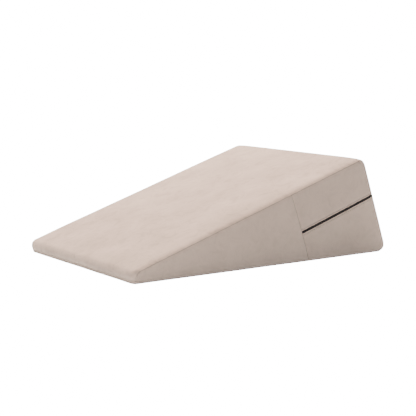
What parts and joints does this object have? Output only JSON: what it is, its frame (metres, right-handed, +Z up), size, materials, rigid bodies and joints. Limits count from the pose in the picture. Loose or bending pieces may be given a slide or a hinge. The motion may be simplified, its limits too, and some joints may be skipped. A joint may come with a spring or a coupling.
{
  "type": "wedge pillow",
  "caption": "Long foam wedge pillow in a sewn suede-finish cover, with a thin rounded nose, a high square back and a zip round the thick end.",
  "frame": {"origin": "on the floor, under the centre of the whole part's box", "axes": "+Y from the thin nose to the high back, +Z up out of the base, +X across the width towards the side that the picture shows"},
  "size_m": [0.6172, 0.8538, 0.2747],
  "materials": {
    "suede": "matt brushed greige suede-finish knit with a short nap",
    "tape": "black woven zip tape",
    "coil": "black nylon coil, satin"
  },
  "bodies": {
    "root": {"pillow": "suede", "zip_tape": "tape", "zip_coil": "coil"}
  },
  "joints": []
}
